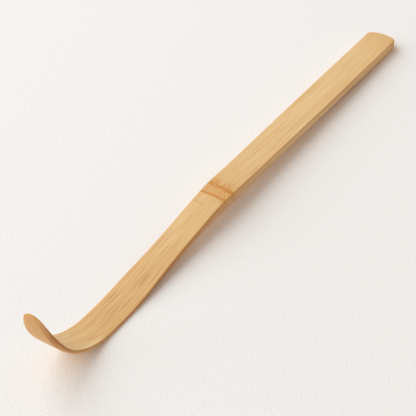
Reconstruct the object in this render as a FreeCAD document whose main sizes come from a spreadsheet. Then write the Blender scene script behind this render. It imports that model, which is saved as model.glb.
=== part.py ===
import FreeCAD, Part

import math
import os

import Sketcher
from FreeCAD import Vector

# A chashaku, the bamboo scoop for powdered tea, carved from one strip of a culm
#
# The strip lies skin side up and runs along X: the handle towards +X, the scoop towards -X.
# The sketches have the node crest over their origin, and the table is the plane Z = 0.
# A slope is the rise of the skin on the way to the scoop.
# Lengths are in millimetres and angles in degrees.

SIZES = [
    # Side view of the skin, from the cut end of the handle to the tip of the scoop
    ("handle_length", 104.2, "node crest to the cut end"),
    ("end_thickness", 3.3, "height of the skin at the cut end"),
    ("arch_height", 2.9, "gap between the table and the back under the node"),
    ("node_thickness", 3.55, "skin to back at the node crest"),
    ("crest_radius", 12.0, "rounding over the node ridge"),
    ("flank_radius", 7.0, "hollow at each foot of the node ridge"),
    ("handle_flank_angle", 9.3, "how far the hollow on the handle side turns the skin"),
    ("shaft_flank_angle", 3.3, "how far the hollow on the shaft side turns it"),
    ("shaft_length", 38.0, "straight skin between the node and the scoop"),
    ("run_radius", 74.0, "gentle curve where the shaft runs into the scoop"),
    ("bend_start_angle", 4.4, "slope of the skin where the steamed bend starts"),
    ("bend_radius", 22.0, "steamed bend, on the skin"),
    ("bend_end_angle", 56.7, "its slope where the bend opens into the curl"),
    ("curl_radius", 40.0, "curl up to the tip, on the skin"),
    ("tip_angle", 78.0, "its slope at the tip"),
    # Side view of the carved back, as thicknesses square to the skin
    ("shaft_root_thickness", 2.7, "taper of the shaft, carried back to the node"),
    ("shaft_end_thickness", 1.1, "where the shaft meets the run"),
    ("bend_start_thickness", 1.07, "under the start of the bend"),
    ("bend_end_thickness", 1.5, "at the end of the bend"),
    ("tip_thickness", 0.6, "at the tip"),
    ("knee_radius", 40.0, "rounding where the arch turns into the shaft"),
    ("foot_length", 5.0, "part of the handle end that reaches the table"),
    # Plan view, for one side of the strip
    ("blank_width", 14.0, "the split strip, before its sides are carved"),
    ("node_width", 8.3, "across the skin at the node"),
    ("handle_end_width", 9.6, "across the cut end, its corners taken off"),
    ("side_swell_depth", 0.21, "swell of each side of the handle"),
    ("waist_distance", 17.5, "node crest to the narrowest place"),
    ("waist_radius", 1210.0, "side between the node and the waist"),
    ("flare_radius", 370.0, "side where the shaft widens again"),
    ("shoulder_radius", 370.0, "side where it reaches the width of the scoop"),
    ("scoop_flare", 0.5, "how far each side of the scoop passes the node's"),
    ("end_curve_radius", 13.0, "curve of the cut end"),
    ("end_corner_radius", 2.6, "corner of the cut end"),
    # Front view of the tongue that ends the scoop
    ("tongue_rise", 1.0, "end of the bend up to where the sides start to close in"),
    ("tip_radius", 3.0, "rounding of the tip"),
    ("tip_trim", 0.7, "what the tongue takes off the end of the strip"),
    # Finishing cuts
    ("skin_edge_radius", 0.2, "softened edge round the skin"),
    ("back_edge_radius", 0.35, "softened edge round the back"),
    ("heel_cut", 0.05, "rubbed off the heel so that it rests flat"),
    ("end_bevel_length", 1.5, "bevel under the cut end, along the handle"),
    ("end_bevel_height", 2.2, "the same bevel, up the end"),
    ("overrun", 2.0, "how far a cut passes the wood"),
]

NODE_NAME = "scoop"
DEGREE = math.radians(1)
LEVEL_SHARE = 0.001

# What a sketch calls its axes and the points of an edge
X_AXIS = -1
Y_AXIS = -2
START = 1
END = 2
CENTRE = 3
ORIGIN = (X_AXIS, START)


class Sizes:
    """The spreadsheet of named sizes, with their values at hand for the first drawing."""

    def __init__(self, doc):
        self.sheet = doc.addObject("Spreadsheet::Sheet", "sizes")
        self.sheet.Label = "sizes"
        for row, (name, value, note) in enumerate(SIZES, start=1):
            self.sheet.set("A%d" % row, name)
            self.sheet.set("B%d" % row, str(value))
            self.sheet.set("C%d" % row, note)
            self.sheet.setAlias("B%d" % row, name)
        doc.recompute()

    def __getattr__(self, name):
        return float(self.sheet.get(name))


class Outline:
    """A sketch on an origin plane of its body, drawn close to its shape and then driven."""

    def __init__(self, body, role, name):
        plane = next(datum for datum in body.Origin.OriginFeatures if datum.Role == role)
        self.sketch = body.newObject("Sketcher::SketchObject", name)
        self.sketch.Label = name
        self.sketch.AttachmentSupport = [(plane, "")]
        self.sketch.MapMode = "FlatFace"

    def line(self, start, end, construction=False):
        """Add a straight edge or a construction line."""
        return self.sketch.addGeometry(Part.LineSegment(start, end), construction)

    def arc(self, centre, start, end):
        """Add the shorter arc between two points about a centre."""
        radius = centre.distanceToPoint(start)
        first = math.atan2(start.y - centre.y, start.x - centre.x)
        last = math.atan2(end.y - centre.y, end.x - centre.x)
        if (last - first) % math.tau > math.pi:
            first, last = last, first
        circle = Part.Circle(centre, Vector(0, 0, 1), radius)
        return self.sketch.addGeometry(Part.ArcOfCircle(circle, first, last))

    def ends(self, first, second):
        """Find which end of each edge lies at their joint."""
        pairs = [(one, other) for one in (START, END) for other in (START, END)]
        return min(pairs, key=lambda pair: self.sketch.getPoint(first, pair[0]).distanceToPoint(
            self.sketch.getPoint(second, pair[1])))

    def add(self, *constraint):
        """Add a constraint and return its index."""
        return self.sketch.addConstraint(Sketcher.Constraint(*constraint))

    def corner(self, first, second):
        """Join two edges at a corner."""
        one, other = self.ends(first, second)
        self.add("Coincident", first, one, second, other)

    def smooth(self, first, second):
        """Join two edges without a corner."""
        one, other = self.ends(first, second)
        self.add("Tangent", first, one, second, other)

    def drive(self, name, expression, *constraint):
        """Add a size constraint and bind it to the sheet."""
        index = self.add(*constraint)
        self.sketch.renameConstraint(index, name)
        self.sketch.setExpression("Constraints." + name, expression)

    def read(self, name, *constraint):
        """Add a reference size that other sketches can use."""
        index = self.add(*constraint)
        self.sketch.setDriving(index, False)
        self.sketch.renameConstraint(index, name)


def upward(slope):
    """Direction square to the skin where it has this slope in radians."""
    return Vector(math.sin(slope), math.cos(slope), 0)


def roll(start, slope, radius, new_slope):
    """Follow a hollow arc, or a crest where the radius is negative, to a new slope."""
    centre = start + upward(slope) * radius
    return centre, centre - upward(new_slope) * radius


def reach(start, slope, end):
    """Find the centre and last slope of the arc that leaves a point at a slope for another."""
    across = end - start
    radius = across.dot(across) / (2 * across.dot(upward(slope)))
    chord_slope = math.atan2(across.y, -across.x)
    return start + upward(slope) * radius, 2 * chord_slope - slope


def beyond(centre, point, distance):
    """Go from a centre through a point to a distance from the centre."""
    return centre + (point - centre).normalize() * distance


def meeting(first, first_radius, second, second_radius):
    """Find the point nearer the cut end at given distances from two centres."""
    apart = second - first
    along = (apart.dot(apart) + first_radius ** 2 - second_radius ** 2) / (2 * apart.Length)
    across = math.sqrt(first_radius ** 2 - along ** 2)
    direction = apart.normalize()
    points = [
        first + direction * along + Vector(-direction.y, direction.x, 0) * sign * across
        for sign in (1, -1)]
    return max(points, key=lambda point: point.x)


def draw_profile(body, sizes):
    """Draw the side view: the skin above, the carved back below, and the thicknesses between."""
    profile = Outline(body, "XZ_Plane", "side_view")
    node_height = sizes.arch_height + sizes.node_thickness
    handle_turn = sizes.handle_flank_angle * DEGREE
    shaft_turn = sizes.shaft_flank_angle * DEGREE

    # First estimates of the two slopes that follow from the heights
    handle_slope = (node_height - sizes.end_thickness) / sizes.handle_length
    drop = node_height - sizes.shaft_end_thickness
    shaft_reach = math.sqrt(sizes.shaft_length ** 2 + 2 * sizes.run_radius * drop)
    shaft_slope = (sizes.shaft_length - shaft_reach) / sizes.run_radius

    # Skin: handle, hollow, crest, hollow, shaft, run, bend and curl
    crest_centre = Vector(0, node_height - sizes.crest_radius, 0)
    crest_right = crest_centre + upward(handle_slope + handle_turn) * sizes.crest_radius
    crest_left = crest_centre + upward(shaft_slope - shaft_turn) * sizes.crest_radius
    right_centre, right_foot = roll(
        crest_right, handle_slope + handle_turn, sizes.flank_radius, handle_slope)
    left_centre, left_foot = roll(
        crest_left, shaft_slope - shaft_turn, sizes.flank_radius, shaft_slope)
    handle_end = Vector(sizes.handle_length + sizes.overrun, sizes.end_thickness, 0)
    along_shaft = Vector(-math.cos(shaft_slope), math.sin(shaft_slope), 0)
    run_start = left_foot + along_shaft * sizes.shaft_length
    bend_start_angle = sizes.bend_start_angle * DEGREE
    bend_end_angle = sizes.bend_end_angle * DEGREE
    tip_angle = sizes.tip_angle * DEGREE
    run_centre, bend_start = roll(run_start, shaft_slope, sizes.run_radius, bend_start_angle)
    bend_centre, bend_end = roll(bend_start, bend_start_angle, sizes.bend_radius, bend_end_angle)
    curl_centre, tip = roll(bend_end, bend_end_angle, sizes.curl_radius, tip_angle)

    crest = profile.arc(crest_centre, crest_right, crest_left)
    right_flank = profile.arc(right_centre, crest_right, right_foot)
    left_flank = profile.arc(left_centre, crest_left, left_foot)
    handle = profile.line(handle_end, right_foot)
    shaft = profile.line(left_foot, run_start)
    run = profile.arc(run_centre, run_start, bend_start)
    bend = profile.arc(bend_centre, bend_start, bend_end)
    curl = profile.arc(curl_centre, bend_end, tip)
    for first, second in [
        (handle, right_flank),
        (right_flank, crest),
        (crest, left_flank),
        (left_flank, shaft),
        (shaft, run),
        (run, bend),
        (bend, curl),
    ]:
        profile.smooth(first, second)
    profile.add("PointOnObject", crest, CENTRE, Y_AXIS)
    profile.drive(
        "crest_centre_height",
        "sizes.arch_height + sizes.node_thickness - sizes.crest_radius",
        "DistanceY", *ORIGIN, crest, CENTRE, crest_centre.y)
    profile.drive(
        "handle_end_height", "sizes.end_thickness", "DistanceY", *ORIGIN, handle, START, handle_end.y)
    profile.drive(
        "blank_length", "sizes.handle_length + sizes.overrun",
        "DistanceX", *ORIGIN, handle, START, handle_end.x)
    profile.drive("crest_radius", "sizes.crest_radius", "Radius", crest, sizes.crest_radius)
    for name, flank, turn in [
        ("handle_flank", right_flank, handle_turn),
        ("shaft_flank", left_flank, shaft_turn),
    ]:
        profile.drive(
            name + "_radius", "sizes.flank_radius", "Radius", flank, sizes.flank_radius)
        profile.drive(name + "_angle", "sizes.%s_angle * 1 deg" % name, "Angle", flank, turn)
    profile.drive("shaft_length", "sizes.shaft_length", "Distance", shaft, sizes.shaft_length)
    profile.drive("run_radius", "sizes.run_radius", "Radius", run, sizes.run_radius)
    profile.drive("bend_radius", "sizes.bend_radius", "Radius", bend, sizes.bend_radius)
    profile.drive("curl_radius", "sizes.curl_radius", "Radius", curl, sizes.curl_radius)

    # Thicknesses: lines square to the skin, from the back up to the skin
    def thickness(name, skin_point, slope, skin_edge, construction=True):
        """Draw one thickness line that ends on the far end of a skin edge."""
        value = getattr(sizes, name)
        measure = profile.line(skin_point - upward(slope) * value, skin_point, construction)
        profile.corner(skin_edge, measure)
        profile.drive(name, "sizes." + name, "Distance", measure, value)
        return measure

    root_measure = thickness("shaft_root_thickness", left_foot, shaft_slope, shaft)
    shaft_measure = thickness("shaft_end_thickness", run_start, shaft_slope, shaft)
    bend_measure = thickness("bend_start_thickness", bend_start, bend_start_angle, run)
    curl_measure = thickness("bend_end_thickness", bend_end, bend_end_angle, bend)
    tip_measure = thickness("tip_thickness", tip, tip_angle, curl, construction=False)
    for measure in (root_measure, shaft_measure):
        profile.add("Perpendicular", measure, shaft)
    for name, measure, edge in [
        ("bend_start_angle", bend_measure, bend),
        ("bend_end_angle", curl_measure, curl),
        ("tip_angle", tip_measure, curl),
    ]:
        profile.add("PointOnObject", edge, CENTRE, measure)
        lean = math.pi / 2 - getattr(sizes, name) * DEGREE
        profile.drive(name, "90 deg - sizes.%s * 1 deg" % name, "Angle", measure, lean)

    # Back: arch under the handle and the node, knee, shaft, run, bend and curl
    back = {measure: profile.sketch.getPoint(measure, START) for measure in (
        root_measure, shaft_measure, bend_measure, curl_measure, tip_measure)}
    foot = sizes.handle_length - sizes.foot_length
    arch_radius = (foot ** 2 + sizes.arch_height ** 2) / (2 * sizes.arch_height)
    arch_centre = Vector(0, sizes.arch_height - arch_radius, 0)
    blank_drop = math.sqrt(arch_radius ** 2 - handle_end.x ** 2)
    arch_end = Vector(handle_end.x, arch_centre.y + blank_drop, 0)
    taper = back[shaft_measure] - back[root_measure]
    taper_slope = math.atan2(taper.y, -taper.x)
    knee_share = (sizes.arch_height - back[root_measure].y) / taper.y
    knee_point = back[root_measure] + taper * knee_share
    knee_reach = sizes.knee_radius * math.tan(-taper_slope / 2)
    knee_start = knee_point + Vector(knee_reach, 0, 0)
    knee_centre, knee_end = roll(knee_start, 0, -sizes.knee_radius, taper_slope)
    back_run_centre, back_slope = reach(back[shaft_measure], taper_slope, back[bend_measure])
    back_bend_centre, back_curl_slope = reach(back[bend_measure], back_slope, back[curl_measure])
    back_curl_centre, _ = reach(back[curl_measure], back_curl_slope, back[tip_measure])

    arch = profile.arc(arch_centre, arch_end, knee_start)
    knee = profile.arc(knee_centre, knee_start, knee_end)
    back_shaft = profile.line(knee_end, back[shaft_measure])
    back_run = profile.arc(back_run_centre, back[shaft_measure], back[bend_measure])
    back_bend = profile.arc(back_bend_centre, back[bend_measure], back[curl_measure])
    back_curl = profile.arc(back_curl_centre, back[curl_measure], back[tip_measure])
    end_face = profile.line(handle_end, arch_end)
    for first, second in [
        (arch, knee),
        (knee, back_shaft),
        (back_shaft, back_run),
        (back_run, back_bend),
        (back_bend, back_curl),
    ]:
        profile.smooth(first, second)
    for first, second in [
        (back_shaft, shaft_measure),
        (back_run, bend_measure),
        (back_bend, curl_measure),
        (back_curl, tip_measure),
        (end_face, handle),
        (end_face, arch),
    ]:
        profile.corner(first, second)
    profile.add("Vertical", end_face)
    profile.add("PointOnObject", root_measure, START, back_shaft)
    profile.add("PointOnObject", arch, CENTRE, Y_AXIS)
    foot_rule = "(sizes.handle_length - sizes.foot_length)^2 / sizes.arch_height"
    arch_rule = "(%s + sizes.arch_height) / 2" % foot_rule
    profile.drive("arch_radius", arch_rule, "Radius", arch, arch_radius)
    profile.drive(
        "arch_centre_depth", arch_rule + " - sizes.arch_height",
        "DistanceY", arch, CENTRE, *ORIGIN, -arch_centre.y)
    profile.drive("knee_radius", "sizes.knee_radius", "Radius", knee, sizes.knee_radius)

    # The heel touches the table, which settles the slope of the shaft
    profile.add("Tangent", back_run, X_AXIS)
    profile.read("bend_end_height", "DistanceY", *ORIGIN, curl_measure, END, bend_end.y)
    profile.read("tip_height", "DistanceY", *ORIGIN, tip_measure, END, tip.y)
    profile.read("tip_distance", "DistanceX", tip_measure, START, *ORIGIN, -back[tip_measure].x)
    return profile


def draw_plan_waste(body, sizes, profile):
    """Draw what is carved off one side in plan: round the cut end and along to past the tip."""
    plan = Outline(body, "XY_Plane", "plan_waste")
    half_node = sizes.node_width / 2
    half_end = sizes.handle_end_width / 2
    half_scoop = half_node + sizes.scoop_flare
    half_blank = sizes.blank_width / 2 + sizes.overrun
    past_end = sizes.handle_length + 2 * sizes.overrun
    past_tip = -profile.sketch.getDatum("tip_distance").Value - sizes.overrun

    # Centres of the side of the handle, the cut end and the corner between them
    node_point = Vector(0, half_node, 0)
    chord = Vector(sizes.handle_length, half_end - half_node, 0)
    swell = sizes.side_swell_depth
    handle_radius = chord.Length ** 2 / (8 * swell) + swell / 2
    square = Vector(chord.y, -chord.x, 0) / chord.Length
    handle_centre = node_point + chord / 2 + square * (handle_radius - swell)
    end_centre = Vector(sizes.handle_length - sizes.end_curve_radius, 0, 0)
    corner_centre = meeting(
        handle_centre, handle_radius - sizes.end_corner_radius,
        end_centre, sizes.end_curve_radius - sizes.end_corner_radius)
    apex = Vector(sizes.handle_length, 0, 0)
    corner_start = beyond(end_centre, corner_centre, sizes.end_curve_radius)
    corner_end = beyond(handle_centre, corner_centre, handle_radius)

    # Centres of the waist, the flare and the shoulder
    waist_centre = beyond(handle_centre, node_point, handle_radius + sizes.waist_radius)
    waist_fall = math.sqrt(sizes.waist_radius ** 2 - (sizes.waist_distance + waist_centre.x) ** 2)
    waist = Vector(-sizes.waist_distance, waist_centre.y - waist_fall, 0)
    flare_centre = beyond(waist_centre, waist, sizes.waist_radius - sizes.flare_radius)
    shoulder_y = half_scoop - sizes.shoulder_radius
    centres_apart = sizes.flare_radius + sizes.shoulder_radius
    centres_along = math.sqrt(centres_apart ** 2 - (flare_centre.y - shoulder_y) ** 2)
    shoulder_centre = Vector(flare_centre.x - centres_along, shoulder_y, 0)
    flare_end = beyond(flare_centre, shoulder_centre, sizes.flare_radius)
    shoulder_end = Vector(shoulder_centre.x, half_scoop, 0)

    cut_end = plan.arc(end_centre, apex, corner_start)
    corner = plan.arc(corner_centre, corner_start, corner_end)
    handle_side = plan.arc(handle_centre, corner_end, node_point)
    waist_side = plan.arc(waist_centre, node_point, waist)
    flare_side = plan.arc(flare_centre, waist, flare_end)
    shoulder_side = plan.arc(shoulder_centre, flare_end, shoulder_end)
    scoop_side = plan.line(shoulder_end, Vector(past_tip, half_scoop, 0))
    for first, second in [
        (cut_end, corner),
        (corner, handle_side),
        (handle_side, waist_side),
        (waist_side, flare_side),
        (flare_side, shoulder_side),
        (shoulder_side, scoop_side),
    ]:
        plan.smooth(first, second)
    plan.add("PointOnObject", cut_end, CENTRE, X_AXIS)
    plan.drive(
        "handle_length", "sizes.handle_length", "DistanceX", *ORIGIN, cut_end, START, apex.x)
    plan.add("PointOnObject", cut_end, START, X_AXIS)
    node_end = plan.ends(handle_side, waist_side)[0]
    plan.add("PointOnObject", handle_side, node_end, Y_AXIS)
    plan.drive(
        "half_node", "sizes.node_width / 2", "DistanceY", *ORIGIN, handle_side, node_end, half_node)
    chord_rule = "(sizes.handle_length^2 + (sizes.handle_end_width - sizes.node_width)^2 / 4)"
    plan.drive(
        "handle_radius",
        chord_rule + " / (8 * sizes.side_swell_depth) + sizes.side_swell_depth / 2",
        "Radius", handle_side, handle_radius)
    end_point = plan.sketch.addGeometry(Part.Point(Vector(sizes.handle_length, half_end, 0)), True)
    plan.add("PointOnObject", end_point, START, handle_side)
    plan.drive(
        "end_point_distance", "sizes.handle_length", "DistanceX", *ORIGIN, end_point, START, apex.x)
    plan.drive(
        "half_end", "sizes.handle_end_width / 2", "DistanceY", *ORIGIN, end_point, START, half_end)
    for name, edge in [
        ("end_curve_radius", cut_end),
        ("end_corner_radius", corner),
        ("waist_radius", waist_side),
        ("flare_radius", flare_side),
        ("shoulder_radius", shoulder_side),
    ]:
        plan.drive(name, "sizes." + name, "Radius", edge, getattr(sizes, name))
    waist_end = plan.ends(waist_side, flare_side)[0]
    plan.drive(
        "waist_distance", "sizes.waist_distance",
        "DistanceX", waist_side, waist_end, *ORIGIN, sizes.waist_distance)
    plan.add("Horizontal", scoop_side)
    plan.drive(
        "half_scoop", "sizes.node_width / 2 + sizes.scoop_flare",
        "DistanceY", *ORIGIN, scoop_side, END, half_scoop)
    plan.drive(
        "past_tip", "side_view.Constraints.tip_distance + sizes.overrun * 1 mm",
        "DistanceX", scoop_side, END, *ORIGIN, -past_tip)

    # The outer limits of the waste
    across_tip = plan.line(Vector(past_tip, half_scoop, 0), Vector(past_tip, half_blank, 0))
    outside = plan.line(Vector(past_tip, half_blank, 0), Vector(past_end, half_blank, 0))
    across_end = plan.line(Vector(past_end, half_blank, 0), Vector(past_end, 0, 0))
    centreline = plan.line(Vector(past_end, 0, 0), apex)
    for first, second in [
        (scoop_side, across_tip),
        (across_tip, outside),
        (outside, across_end),
        (across_end, centreline),
        (centreline, cut_end),
    ]:
        plan.corner(first, second)
    for edge in (across_tip, across_end):
        plan.add("Vertical", edge)
    for edge in (outside, centreline):
        plan.add("Horizontal", edge)
    plan.drive(
        "half_blank", "sizes.blank_width / 2 + sizes.overrun",
        "DistanceY", *ORIGIN, outside, START, half_blank)
    plan.drive(
        "past_end", "sizes.handle_length + 2 * sizes.overrun",
        "DistanceX", *ORIGIN, outside, END, past_end)
    return plan


def draw_front_waste(body, sizes, profile):
    """Draw what is carved off one side of the scoop from the front, leaving half a tongue."""
    front = Outline(body, "YZ_Plane", "front_waste")
    half_scoop = sizes.node_width / 2 + sizes.scoop_flare
    half_blank = sizes.blank_width / 2 + sizes.overrun
    tip_height = profile.sketch.getDatum("tip_height").Value
    top = tip_height - sizes.tip_trim
    shoulder = profile.sketch.getDatum("bend_end_height").Value + sizes.tongue_rise
    past_tip = tip_height + sizes.overrun

    tip_centre = Vector(0, top - sizes.tip_radius, 0)
    rise = tip_centre.y - shoulder
    side_radius = (half_scoop ** 2 + rise ** 2 - sizes.tip_radius ** 2) / (
        2 * (half_scoop - sizes.tip_radius))
    side_centre = Vector(half_scoop - side_radius, shoulder, 0)
    tangent_point = beyond(side_centre, tip_centre, side_radius)
    apex = Vector(0, top, 0)
    side_end = Vector(half_scoop, shoulder, 0)

    tip_arc = front.arc(tip_centre, tangent_point, apex)
    side_arc = front.arc(side_centre, side_end, tangent_point)
    shelf = front.line(side_end, Vector(half_blank, shoulder, 0))
    outside = front.line(Vector(half_blank, shoulder, 0), Vector(half_blank, past_tip, 0))
    above = front.line(Vector(half_blank, past_tip, 0), Vector(0, past_tip, 0))
    centreline = front.line(Vector(0, past_tip, 0), apex)
    front.smooth(tip_arc, side_arc)
    for first, second in [
        (side_arc, shelf),
        (shelf, outside),
        (outside, above),
        (above, centreline),
        (centreline, tip_arc),
    ]:
        front.corner(first, second)
    for edge in (outside, centreline):
        front.add("Vertical", edge)
    for edge in (shelf, above):
        front.add("Horizontal", edge)
    front.add("PointOnObject", tip_arc, CENTRE, Y_AXIS)
    front.add("PointOnObject", centreline, START, Y_AXIS)
    front.add("PointOnObject", side_arc, CENTRE, shelf)
    front.drive("tip_radius", "sizes.tip_radius", "Radius", tip_arc, sizes.tip_radius)
    front.drive(
        "half_scoop", "sizes.node_width / 2 + sizes.scoop_flare",
        "DistanceX", *ORIGIN, shelf, START, half_scoop)
    front.drive(
        "top", "side_view.Constraints.tip_height - sizes.tip_trim * 1 mm",
        "DistanceY", *ORIGIN, centreline, END, top)
    front.drive(
        "shoulder", "side_view.Constraints.bend_end_height + sizes.tongue_rise * 1 mm",
        "DistanceY", *ORIGIN, shelf, START, shoulder)
    front.drive(
        "past_tip", "side_view.Constraints.tip_height + sizes.overrun * 1 mm",
        "DistanceY", *ORIGIN, centreline, START, past_tip)
    front.drive(
        "half_blank", "sizes.blank_width / 2 + sizes.overrun",
        "DistanceX", *ORIGIN, shelf, END, half_blank)
    return front


def draw_rest_waste(body, sizes, profile):
    """Draw what is taken off underneath: the flat of heel and foot, and the bevel of the end."""
    rest = Outline(body, "XZ_Plane", "rest_waste")
    past_tip = -profile.sketch.getDatum("tip_distance").Value - sizes.overrun
    past_end = sizes.handle_length + 2 * sizes.overrun
    bevel_start = sizes.handle_length - sizes.end_bevel_length
    rise = sizes.end_bevel_height / sizes.end_bevel_length
    bevel_end = sizes.heel_cut + (past_end - bevel_start) * rise
    points = [
        Vector(past_tip, -sizes.overrun, 0),
        Vector(past_tip, sizes.heel_cut, 0),
        Vector(bevel_start, sizes.heel_cut, 0),
        Vector(past_end, bevel_end, 0),
        Vector(past_end, -sizes.overrun, 0),
    ]
    near, flat, bevel, far, below = [
        rest.line(start, end) for start, end in zip(points, points[1:] + points[:1])]
    for first, second in [(near, flat), (flat, bevel), (bevel, far), (far, below), (below, near)]:
        rest.corner(first, second)
    for edge in (near, far):
        rest.add("Vertical", edge)
    for edge in (flat, below):
        rest.add("Horizontal", edge)
    rest.drive("heel_cut", "sizes.heel_cut", "DistanceY", *ORIGIN, flat, START, sizes.heel_cut)
    rest.drive("overrun", "sizes.overrun", "DistanceY", below, START, *ORIGIN, sizes.overrun)
    rest.drive(
        "past_tip", "side_view.Constraints.tip_distance + sizes.overrun * 1 mm",
        "DistanceX", flat, START, *ORIGIN, -past_tip)
    rest.drive(
        "past_end", "sizes.handle_length + 2 * sizes.overrun",
        "DistanceX", *ORIGIN, far, START, past_end)
    rest.drive(
        "bevel_start", "sizes.handle_length - sizes.end_bevel_length",
        "DistanceX", *ORIGIN, flat, END, bevel_start)
    rest.drive(
        "bevel_angle", "atan(sizes.end_bevel_height / sizes.end_bevel_length)",
        "Angle", bevel, math.atan(rise))
    return rest


def cut_through(body, outline, name):
    """Cut an outline through the wood both ways, and check that it took some away."""
    before = body.Shape.Volume
    pocket = body.newObject("PartDesign::Pocket", name)
    pocket.Label = name
    pocket.Profile = outline.sketch
    pocket.Type = "ThroughAll"
    pocket.SideType = "Symmetric"
    body.Document.recompute()
    if not body.Shape.Volume < before:
        raise RuntimeError(name + " cut nothing")
    return pocket


def rim(shape, side):
    """Name the edges where the carved sides meet the skin (side 1) or the back (side -1)."""
    names = []
    for index, edge in enumerate(shape.Edges, start=1):
        middle = edge.valueAt((edge.FirstParameter + edge.LastParameter) / 2)
        long_faces = []
        walls = 0
        for face in shape.ancestorsOfType(edge, Part.Face):
            normal = face.normalAt(*face.Surface.parameter(middle))
            if abs(normal.y) < LEVEL_SHARE and abs(normal.z) > LEVEL_SHARE:
                long_faces.append(normal.z)
            else:
                walls += 1
        if walls == 1 and len(long_faces) == 1 and long_faces[0] * side > 0:
            names.append("Edge%d" % index)
    return names


def soften(body, name, side, size):
    """Round the rim of the skin or of the back."""
    base = body.Tip
    edges = rim(base.Shape, side)
    fillet = body.newObject("PartDesign::Fillet", name)
    fillet.Label = name
    fillet.Base = (base, edges)
    fillet.setExpression("Radius", "sizes." + size)
    body.Document.recompute()
    return fillet


def build_scoop(doc, sizes):
    """Carve the strip as its maker does: bend and thin it, carve its sides, then finish it."""
    body = doc.addObject("PartDesign::Body", NODE_NAME)
    body.Label = NODE_NAME
    profile = draw_profile(body, sizes)
    doc.recompute()

    strip = body.newObject("PartDesign::Pad", "bent_strip")
    strip.Label = "bent_strip"
    strip.Profile = profile.sketch
    strip.SideType = "Symmetric"
    strip.setExpression("Length", "sizes.blank_width")
    doc.recompute()

    plan = draw_plan_waste(body, sizes, profile)
    plan_cut = cut_through(body, plan, "plan_cut")
    front = draw_front_waste(body, sizes, profile)
    front_cut = cut_through(body, front, "tongue_cut")
    other_side = body.newObject("PartDesign::Mirrored", "other_side")
    other_side.Label = "other_side"
    other_side.Originals = [plan_cut, front_cut]
    middle_plane = next(
        datum for datum in body.Origin.OriginFeatures if datum.Role == "XZ_Plane")
    other_side.MirrorPlane = (middle_plane, [""])
    body.Tip = other_side
    doc.recompute()

    soften(body, "skin_edges", 1, "skin_edge_radius")
    soften(body, "back_edges", -1, "back_edge_radius")
    rest = draw_rest_waste(body, sizes, profile)
    cut_through(body, rest, "rest_cut")

    # The part's own origin is at the middle of what it covers, on the table
    box = body.Shape.optimalBoundingBox(False, False)
    body.Placement.Base = Vector(-box.Center.x, 0, -box.ZMin)
    doc.recompute()
    return body


def check(doc, body):
    """Stop if any feature failed, or if the wood isn't one sound solid."""
    for item in doc.Objects:
        if {"Invalid", "Error"} & set(item.State):
            raise RuntimeError("%s failed: %s" % (item.Label, item.State))
        if item.TypeId == "Sketcher::SketchObject" and (item.solve() or item.DoF):
            raise RuntimeError("%s isn't fully defined" % item.Label)
    shape = body.Shape
    if shape.isNull() or not shape.isValid() or len(shape.Solids) != 1:
        raise RuntimeError(body.Label + " isn't one sound solid")


def main():
    """Build the scoop and write its file."""
    doc = FreeCAD.newDocument("chashaku")
    sizes = Sizes(doc)
    body = build_scoop(doc, sizes)
    check(doc, body)
    os.makedirs("parts", exist_ok=True)
    body.Shape.exportStep("parts/%s.step" % body.Label)
    box = body.Shape.optimalBoundingBox(False, False)
    print("%s: %.2f x %.2f x %.2f mm, %.0f cubic mm" % (
        body.Label, box.XLength, box.YLength, box.ZLength, body.Shape.Volume))


main()
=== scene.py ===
"""The looks of a bamboo tea scoop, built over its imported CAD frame.

The scoop is one carved and bent strip of bamboo. The strip is built as a fine
mesh over the CAD solid, and a procedural bamboo finish follows its fibres.
"""

import logging
import math
from bisect import bisect_right
from dataclasses import dataclass, field
from enum import Enum

import bmesh
import bpy
from mathutils import Matrix, Vector

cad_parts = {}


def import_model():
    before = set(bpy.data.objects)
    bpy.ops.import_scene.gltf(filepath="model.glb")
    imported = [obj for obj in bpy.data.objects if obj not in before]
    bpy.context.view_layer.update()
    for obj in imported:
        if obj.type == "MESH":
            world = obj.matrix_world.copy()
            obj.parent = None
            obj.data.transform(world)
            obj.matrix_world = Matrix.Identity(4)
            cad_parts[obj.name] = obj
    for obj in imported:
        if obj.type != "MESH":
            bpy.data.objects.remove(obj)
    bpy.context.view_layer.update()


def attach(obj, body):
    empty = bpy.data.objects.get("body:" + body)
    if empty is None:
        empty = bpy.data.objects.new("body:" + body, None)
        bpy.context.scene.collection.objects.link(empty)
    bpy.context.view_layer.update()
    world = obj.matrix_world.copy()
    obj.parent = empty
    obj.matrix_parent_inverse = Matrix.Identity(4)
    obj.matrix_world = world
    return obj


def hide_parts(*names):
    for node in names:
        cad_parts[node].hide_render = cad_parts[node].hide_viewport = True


LOG = logging.getLogger("tea_scoop")
MM = 0.001

# the shortest distance that is divided by, in mm
SHORTEST = 1e-6

# sockets of the colour mix node
FACTOR, COLOUR_A, COLOUR_B = 0, 6, 7


class Blend(Enum):
    """How a colour is laid over what is below it."""

    COVER = "MIX"
    STAIN = "MULTIPLY"


def colour(hex_code: str) -> tuple[float, float, float, float]:
    """Turn an sRGB hex code into the linear colour that Blender takes.

    Args:
        hex_code: six hex digits, red first.

    Returns:
        Red, green and blue from 0 to 1, and an alpha of 1.
    """
    linear = []
    for start in (0, 2, 4):
        part = int(hex_code[start:start + 2], 16) / 255
        linear.append(part / 12.92 if part <= 0.04045 else ((part + 0.055) / 1.055) ** 2.4)
    return (*linear, 1.0)


def ease(share: float) -> float:
    """Return a share from 0 to 1 with a soft start and end."""
    share = min(1.0, max(0.0, share))
    return share * share * (3 - 2 * share)


def between(start: float, end: float, share: float) -> float:
    """Return the value that lies that share of the way from start to end."""
    return start + (end - start) * share


# The shape of the strip


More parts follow.
